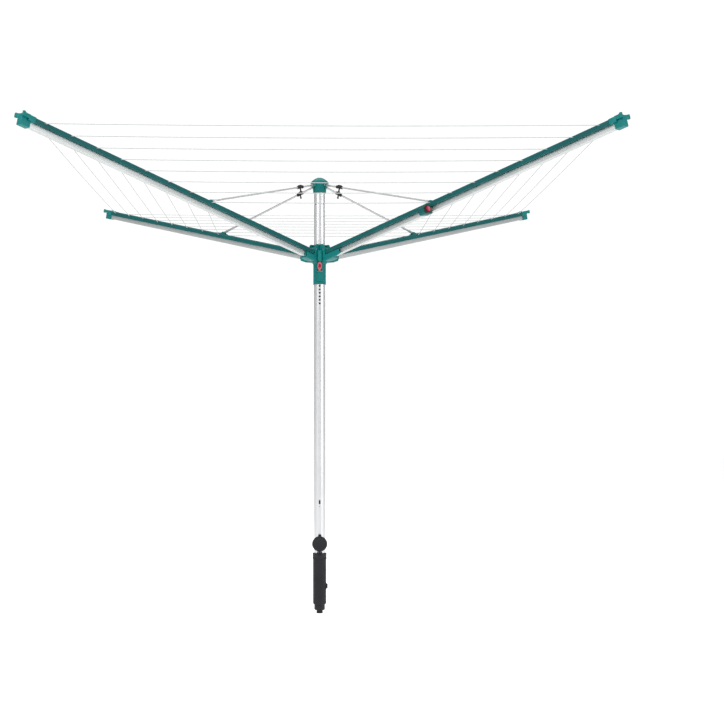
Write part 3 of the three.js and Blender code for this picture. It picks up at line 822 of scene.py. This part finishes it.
def cover_shape():
    """A flat channel with two lips underneath, and windows in its sides where the lines come out."""
    inside = COVER_HALF - COVER_WALL
    outer = both_sides([
        (11.3, COVER_BOTTOM, 0.4), (COVER_HALF, COVER_BOTTOM, 1.6), (COVER_HALF - 0.3, COVER_TOP - 3, 4),
        (COVER_HALF - 5, COVER_TOP, 3),
    ])
    inner = both_sides([
        (11.3, COVER_BOTTOM + COVER_WALL, 0.4), (inside, COVER_BOTTOM + COVER_WALL, 1),
        (inside, COVER_TOP - 5.4, 3), (inside - 4, COVER_TOP - COVER_WALL, 2),
    ])
    section = rounded([*outer, *reversed(inner)], 4)
    shell = prism("cover", section, "x", COVER_START, COVER_END)
    middle = COVER_HALF - COVER_WALL / 2
    windows = []
    for loop in range(LINE_LOOPS):
        x, z = loop_x(loop) - middle * COS, LINE_Z + middle * SIN
        for low in (-COVER_HALF - 2, COVER_HALF - 4):
            windows.append(block((x - 4.4, x + 4.4), (low, low + 6), (z - 2.8, z + 2.4)))
    return without(shell, *windows)


def profile_shape():
    outer = rounded(both_sides([(PROFILE_HALF, ARM_BOTTOM, 3.2), (PROFILE_HALF, PROFILE_TOP, 0.5)]), 6)
    half = PROFILE_HALF - PROFILE_WALL
    inner = rounded(both_sides([
        (half, ARM_BOTTOM + PROFILE_WALL, 2), (half, PROFILE_TOP - PROFILE_WALL, 0.5),
    ]), 4)
    tube = prism("profile", outer, "x", PROFILE_START, PROFILE_END)
    return without(tube, prism("bore", inner, "x", PROFILE_START - 5, PROFILE_END + 5))


def plug(low, high):
    half = PROFILE_HALF - PROFILE_WALL - 0.3
    bottom, top = ARM_BOTTOM + PROFILE_WALL + 0.3, PROFILE_TOP - PROFILE_WALL - 0.3
    return block((low, high), (-half, half), (bottom, top), 1.5)


ROOT_HALF = SEAT_HALF - 1
ROOT_END = 62


def root_shape():
    """The knuckle on the hub's pin, and the block that holds the profile's inner end."""
    knuckle = rod("y", 9, -ROOT_HALF, ROOT_HALF, steps=48, rim=0.7)
    end = PROFILE_START - 0.3
    ceiling = COVER_TOP - 4.2
    web = prism("web", [
        (-8, -4), (-2, -40), (6, ARM_BOTTOM + 1), (end, ARM_BOTTOM + 1), (end, ceiling), (16, ceiling),
        (8, 4),
    ], "y", -9, 9, 0.6)
    heel = prism("heel", [
        (6, ARM_BOTTOM), (ROOT_END, ARM_BOTTOM), (ROOT_END, PROFILE_TOP), (2, PROFILE_TOP),
    ], "y", -ROOT_HALF, ROOT_HALF, 1)
    clear = PROFILE_HALF + 0.3
    channel = block((end, ROOT_END + 1), (-clear, clear), (ARM_BOTTOM - 1, PROFILE_TOP + 1))
    casing = without(joined(knuckle, web, heel), channel, rod("y", 3.5, -20, 20, steps=24))
    return joined(casing, plug(PROFILE_START - 2, 76))


def bracket_shape():
    """A plate on the cover, with the two ears and the pin that the strut turns on."""
    seat = COVER_TOP + 0.3
    top = seat + 2.6
    plate = block((ARM_LENGTH - 14, ARM_LENGTH + 40), (-13, 13), (seat, top), 0.8)
    ear = prism("ear", rounded([
        (ARM_LENGTH - 10, top - 1, 0), (ARM_LENGTH + 22, top - 1, 0), (ARM_LENGTH + 10, 0.5, 6),
        (ARM_LENGTH + 4.5, 4.6, 3), (ARM_LENGTH - 4.5, 4.6, 3), (ARM_LENGTH - 8.5, 0.5, 3),
    ]), "y", -6.8, 6.8, 0.7)
    gap = block((ARM_LENGTH - 20, ARM_LENGTH + 50), (-3.2, 3.2), (top, 12))
    pin = rod("y", 2.5, -7.2, 7.2, (ARM_LENGTH, 0), 24, 0.4)
    rivets = []
    for x in (ARM_LENGTH - 9, ARM_LENGTH + 34):
        rivets += [rod("z", 2.6, top - 0.5, top + 1, (x, y), 20, 0.5) for y in (-9.6, 9.6)]
    return joined(without(joined(plate, ear), gap), pin, *rivets)


TIP_BLOCK_END, TIP_BLOCK_HALF = 1556, 15
HORN_X, HORN_Y = 1557, 26


def tip_shape():
    """The end cap: it carries on the cover's section and spreads into two horns."""
    shoulder = block((COVER_END + 0.3, 1532), (-COVER_HALF, COVER_HALF), (COVER_BOTTOM, COVER_TOP + 1), 1.6)
    half = [
        (1526, 24.5, 0), (1543, 24.5, 8), (1551, 29, 4), (HORN_X, HORN_Y + 5, 3),
        (HORN_X + 3, HORN_Y - 5, 3), (HORN_X, 14, 8), (1553, 6, 6),
    ]
    plan = [*half, *[(x, -y, radius) for x, y, radius in reversed(half)]]
    spread = prism("spread", rounded(plan, 6), "z", -20, -5, 1.6)
    horns = [rod("z", 6, -21, -3, (HORN_X, y), 40, 2.4) for y in (-HORN_Y, HORN_Y)]
    wide = TIP_BLOCK_HALF
    close = block((PROFILE_END + 0.3, TIP_BLOCK_END), (-wide, wide), (ARM_BOTTOM - 2.6, -18), 2.4)
    return joined(shoulder, spread, *horns, close, plug(PROFILE_END - 40, PROFILE_END + 2))


# ---------- tension lock on the front right arm ----------

LOCK_Y, LOCK_Z = -43, -42
LOCK_START, LOCK_RING = 592, 622
BUTTON_END = LOCK_RING + 16


def lock_housing_shape():
    side = -PROFILE_HALF - 0.3
    wrap = prism("housing", rounded([
        (side, COVER_BOTTOM - 0.6, 0), (side, ARM_BOTTOM + 2.6, 0), (3 - PROFILE_HALF, ARM_BOTTOM - 0.5, 0),
        (-4, ARM_BOTTOM - 0.5, 0), (-4, -53, 2), (-50, -60, 6), (-58, -54, 5), (-58, -32, 5), (-52, -26, 5),
        (-26, -25, 0.6), (-COVER_HALF - 0.5, COVER_BOTTOM - 0.6, 0),
    ]), "x", LOCK_START, LOCK_RING, 1.2)
    return without(wrap, rod("x", 9, LOCK_START + 12, LOCK_RING + 4, (LOCK_Y, LOCK_Z), 48))


def lock_collar_shape():
    low, high = LOCK_RING + 0.3, LOCK_RING + 10
    ring = lathe("collar", [
        (11, low), (15.9, low), (16.6, low + 0.7), (16.6, low + 2.6), (15.8, low + 3.4), (15.8, low + 4.4),
        (16.6, low + 5.2), (16.6, high - 1.3), (15.6, high - 0.2), (14.4, high), (11, high),
    ], "x", (LOCK_Y, LOCK_Z), 72)
    return without(ring, rod("x", 11.6, LOCK_START, LOCK_RING + 20, (LOCK_Y, LOCK_Z), 64))


def lock_button_shape():
    end = BUTTON_END
    head = lathe("button", [
        (0, end - 11), (11, end - 11), (11, end - 2.4), (10.4, end - 0.8), (9.4, end), (8.4, end - 0.4),
        (0, end - 0.6),
    ], "x", (LOCK_Y, LOCK_Z), 64)
    return joined(head, rod("x", 8.4, LOCK_START + 19, LOCK_RING + 6, (LOCK_Y, LOCK_Z), 48))


# The pale disc on the knob's end is a painted highlight: a lighter red standing in for the gloss on the red
# knob.
def lock_face_highlight_shape():
    end = BUTTON_END
    profile = [(0, end - 1), (8, end - 1), (8, end - 0.3), (6.8, end), (0, end)]
    return lathe("face", profile, "x", (LOCK_Y, LOCK_Z), 48)


# ---------- lines ----------

LINE_R = 1.5
SAG = 0.003  # share of a line's span between two arms
MIDDLE_GAP = 0.15  # each half line stops this far short of the middle of its span


def line_shape(arm, side):
    """The eight half lines that run from one arm to the middle of one side of the square."""
    place = arm_frame(arm)
    spine = Vector((-COS, side, SIN))
    cross = spine.cross(Vector((0, 0, 1))).normalized()
    rise = cross.cross(spine).normalized()
    down = place.to_3x3().inverted() @ Vector((0, 0, -1))
    steps, sides = 16, 10
    points, faces = [], []
    for loop in range(LINE_LOOPS):
        start = Vector((loop_x(loop), 0, LINE_Z))
        reach = loop_radius(loop) / 2
        drop = SAG * loop_radius(loop) * math.sqrt(2)
        first = len(points)
        for step in range(steps + 1):
            t = step / steps
            along = min(t, 1 - MIDDLE_GAP / (reach * math.sqrt(2)))
            middle = start + spine * reach * along + down * drop * (1 - (1 - t) ** 2)
            for i in range(sides):
                a = 2 * math.pi * i / sides
                spot = middle + (cross * math.cos(a) + rise * math.sin(a)) * LINE_R
                points.append(place @ (spot * MM) / MM)
        for step in range(steps):
            here = first + step * sides
            for i in range(sides):
                n = (i + 1) % sides
                faces.append((here + i, here + n, here + sides + n, here + sides + i))
        faces.append(tuple(range(first, first + sides)))
        faces.append(tuple(range(first + steps * sides, first + (steps + 1) * sides)))
    return object_from("lines", points, faces)


def add_lines():
    for arm in ARMS:
        for side, word in ((1, "ahead"), (-1, "behind")):
            name = f"line_set_{arm}_{word}"
            lines = piece(line_shape(arm, side), name, LINE, f"arm_{arm}", None, (f"lines_{arm}",))
            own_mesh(lines)


# ---------- pins ----------


def pin_shape(radius, half):
    return rod("y", radius, -half, half, steps=32, rim=0.5)


def repaint(node, material):
    for holder in frame["nodes"][node].material_slots:
        holder.material = material


# ---------- assembly ----------

HUB_PLACE = Matrix.Translation((0, 0, HUB_HEIGHT))


def add_socket():
    piece(socket_shape(), "socket_shell", CHARCOAL, "socket", None, ("ground_socket",))
    piece(collar_shape(), "collar_ring", CHARCOAL, "socket", None, ("socket_collar",))
    piece(lid_shape(), "lid_disc", CHARCOAL, "lid", None, ("socket_lid",))
    repaint("lid_hinge_pin", STEEL)
    repaint("mast_foot", BLACK_AND_BORE_SHADE)


def paint_bore_shade(mast):
    """Painted shade: no light gets into the tube, so its bore is painted black where the holes show it."""
    # the faces at the bore's radius get the black as painted shade
    mast.data.materials.append(BLACK_AND_BORE_SHADE)
    for face in mast.data.polygons:
        if face.center.xy.length < (MAST_R - MAST_WALL + 0.4) * MM:
            face.material_index = 1


def add_mast():
    mast = piece(mast_shape(), "mast_extrusion", MAST_METAL, "mast", None, ("mast_tube",))
    paint_bore_shade(mast)
    piece(crown_shape(), "crown_moulding", GREEN, "mast", None, ("crown_body",))
    piece(cap_shape(), "crown_dome", GREEN, "mast", None, ("crown_cap",))


def add_hub():
    piece(hub_shape(), "hub_moulding", GREEN, "hub", HUB_PLACE, ("hub_body",))
    piece(handle_shape(), "grip_bar", GREEN, "hub", HUB_PLACE, ("hub_handle",))
    piece(release_cover_shape(), "latch_plate", GREEN, "hub", HUB_PLACE)
    lever = "release_lever"
    piece(lever_shape(), "release_pad", PALE_RED_AND_HIGHLIGHT, lever, HUB_PLACE, (lever,))
    piece(lever_dot_shape(), "release_dot", RED, lever, HUB_PLACE)
    repaint("lever_pin", STEEL)
    repaint("lever_spring", STEEL)


def add_arms():
    on_each(root_shape(), "arm_root", GREEN, "arm", arm_frame)
    on_each(profile_shape(), "arm_profile", ARM_METAL, "arm", arm_frame)
    on_each(cover_shape(), "arm_cover", COVER, "arm", arm_frame)
    on_each(tip_shape(), "tip_cap", GREEN, "arm", arm_frame)
    on_each(bracket_shape(), "strut_bracket", GREEN, "arm", arm_frame)
    on_each(strut_shape(), "strut", STRUT_METAL, "strut", strut_frame)
    on_each(clip_shape(), "strut_clip", BLACK_AND_BORE_SHADE, "strut_clip", strut_frame)
    for arm in ARMS:
        level = Matrix.Rotation(azimuth(arm), 4, "Z")
        at_root = Matrix.Translation(root_pivot(arm)) @ level
        root_pin = pin_shape(3, SEAT_HALF + CHEEK)
        piece(root_pin, f"root_axle_{arm}", STEEL, "hub", at_root, (f"root_pin_{arm}",))
        at_crown = Matrix.Translation(crown_pivot(arm)) @ level
        strut_pin = pin_shape(2.5, 8.3)
        piece(strut_pin, f"strut_axle_{arm}", STEEL, "mast", at_crown, (f"strut_pin_{arm}",))


def add_lock():
    place = arm_frame(LOCK_ARM)
    body = f"arm_{LOCK_ARM}"
    piece(lock_housing_shape(), "lock_shell", COVER, body, place, ("lock_housing",))
    piece(lock_collar_shape(), "lock_ring", BLACK_AND_BORE_SHADE, body, place, ("lock_collar",))
    piece(lock_button_shape(), "lock_knob", RED, "lock_button", place, ("lock_button",))
    # the knob's pale face disc carries a painted highlight
    piece(lock_face_highlight_shape(), "lock_knob_face_highlight", PALE_RED_AND_HIGHLIGHT, "lock_button", place)


# ---------- studio ----------


def add_floor():
    wide, depth = 30000, -0.2
    corners = [(-wide, -wide, depth), (wide, -wide, depth), (wide, wide, depth), (-wide, wide, depth)]
    floor = object_from("floor", corners, [(0, 1, 2, 3)])
    material, nodes, links, shader = node_material("floor_paper")
    shader.inputs["Base Color"].default_value = (0.93, 0.93, 0.93, 1)
    shader.inputs["Roughness"].default_value = 0.9
    shader.inputs["Specular IOR Level"].default_value = 0.1
    shader.inputs["Emission Color"].default_value = (1, 1, 1, 1)
    shader.inputs["Emission Strength"].default_value = 0.48
    floor.data.materials.append(material)


def add_world():
    """White to the camera; to the object, a bright room that is greyer behind it and low down."""
    world = bpy.data.worlds.new("studio")
    bpy.context.scene.world = world
    world.use_nodes = True
    nodes, links = world.node_tree.nodes, world.node_tree.links
    place = nodes.new("ShaderNodeTexCoord")
    split = nodes.new("ShaderNodeSeparateXYZ")
    links.new(place.outputs["Generated"], split.inputs[0])
    ramp = nodes.new("ShaderNodeValToRGB")
    spread = nodes.new("ShaderNodeMapRange")
    spread.inputs["From Min"].default_value = -1
    links.new(split.outputs["Y"], spread.inputs["Value"])
    links.new(spread.outputs["Result"], ramp.inputs["Fac"])
    ramp.color_ramp.elements[0].color = (0.95, 0.95, 0.95, 1)
    ramp.color_ramp.elements[1].color = (0.6, 0.6, 0.62, 1)
    for position, level in ((0.55, 0.9), (0.72, 0.55), (0.93, 0.48)):
        stop = ramp.color_ramp.elements.new(position)
        stop.color = (level, level, level * 1.02, 1)
    room = nodes["Background"]
    links.new(ramp.outputs["Color"], room.inputs["Color"])
    room.inputs["Strength"].default_value = 0.75
    seen = nodes.new("ShaderNodeBackground")
    seen.inputs["Color"].default_value = (1, 1, 1, 1)
    seen.inputs["Strength"].default_value = 1.05
    mix = nodes.new("ShaderNodeMixShader")
    path = nodes.new("ShaderNodeLightPath")
    links.new(path.outputs["Is Camera Ray"], mix.inputs[0])
    links.new(room.outputs[0], mix.inputs[1])
    links.new(seen.outputs[0], mix.inputs[2])
    links.new(mix.outputs[0], nodes["World Output"].inputs["Surface"])


def add_softbox(name, place, aim, size, power):
    data = bpy.data.lights.new(name, "AREA")
    data.shape = "RECTANGLE"
    data.size, data.size_y = size
    data.energy = power
    light = bpy.data.objects.new(name, data)
    bpy.context.scene.collection.objects.link(light)
    light.location = place
    light.rotation_euler = (Vector(aim) - Vector(place)).to_track_quat("-Z", "Y").to_euler()


def add_lights():
    add_softbox("key", (-3.2, -4.2, 4.6), (0, 0, 1.4), (3, 3), 170)
    add_softbox("fill", (4.2, -3.2, 2.4), (0, 0, 1.3), (2.5, 3), 75)
    add_softbox("top", (0, 0.5, 5.5), (0, 0, 0), (4, 4), 120)
    add_softbox("back", (1.5, 4.5, 3), (0, 0, 1.4), (3, 2), 60)


bpy.context.scene.view_settings.view_transform = "Standard"
add_camera()
add_socket()
add_mast()
add_hub()
add_arms()
add_lock()
add_lines()
add_floor()
add_world()
add_lights()
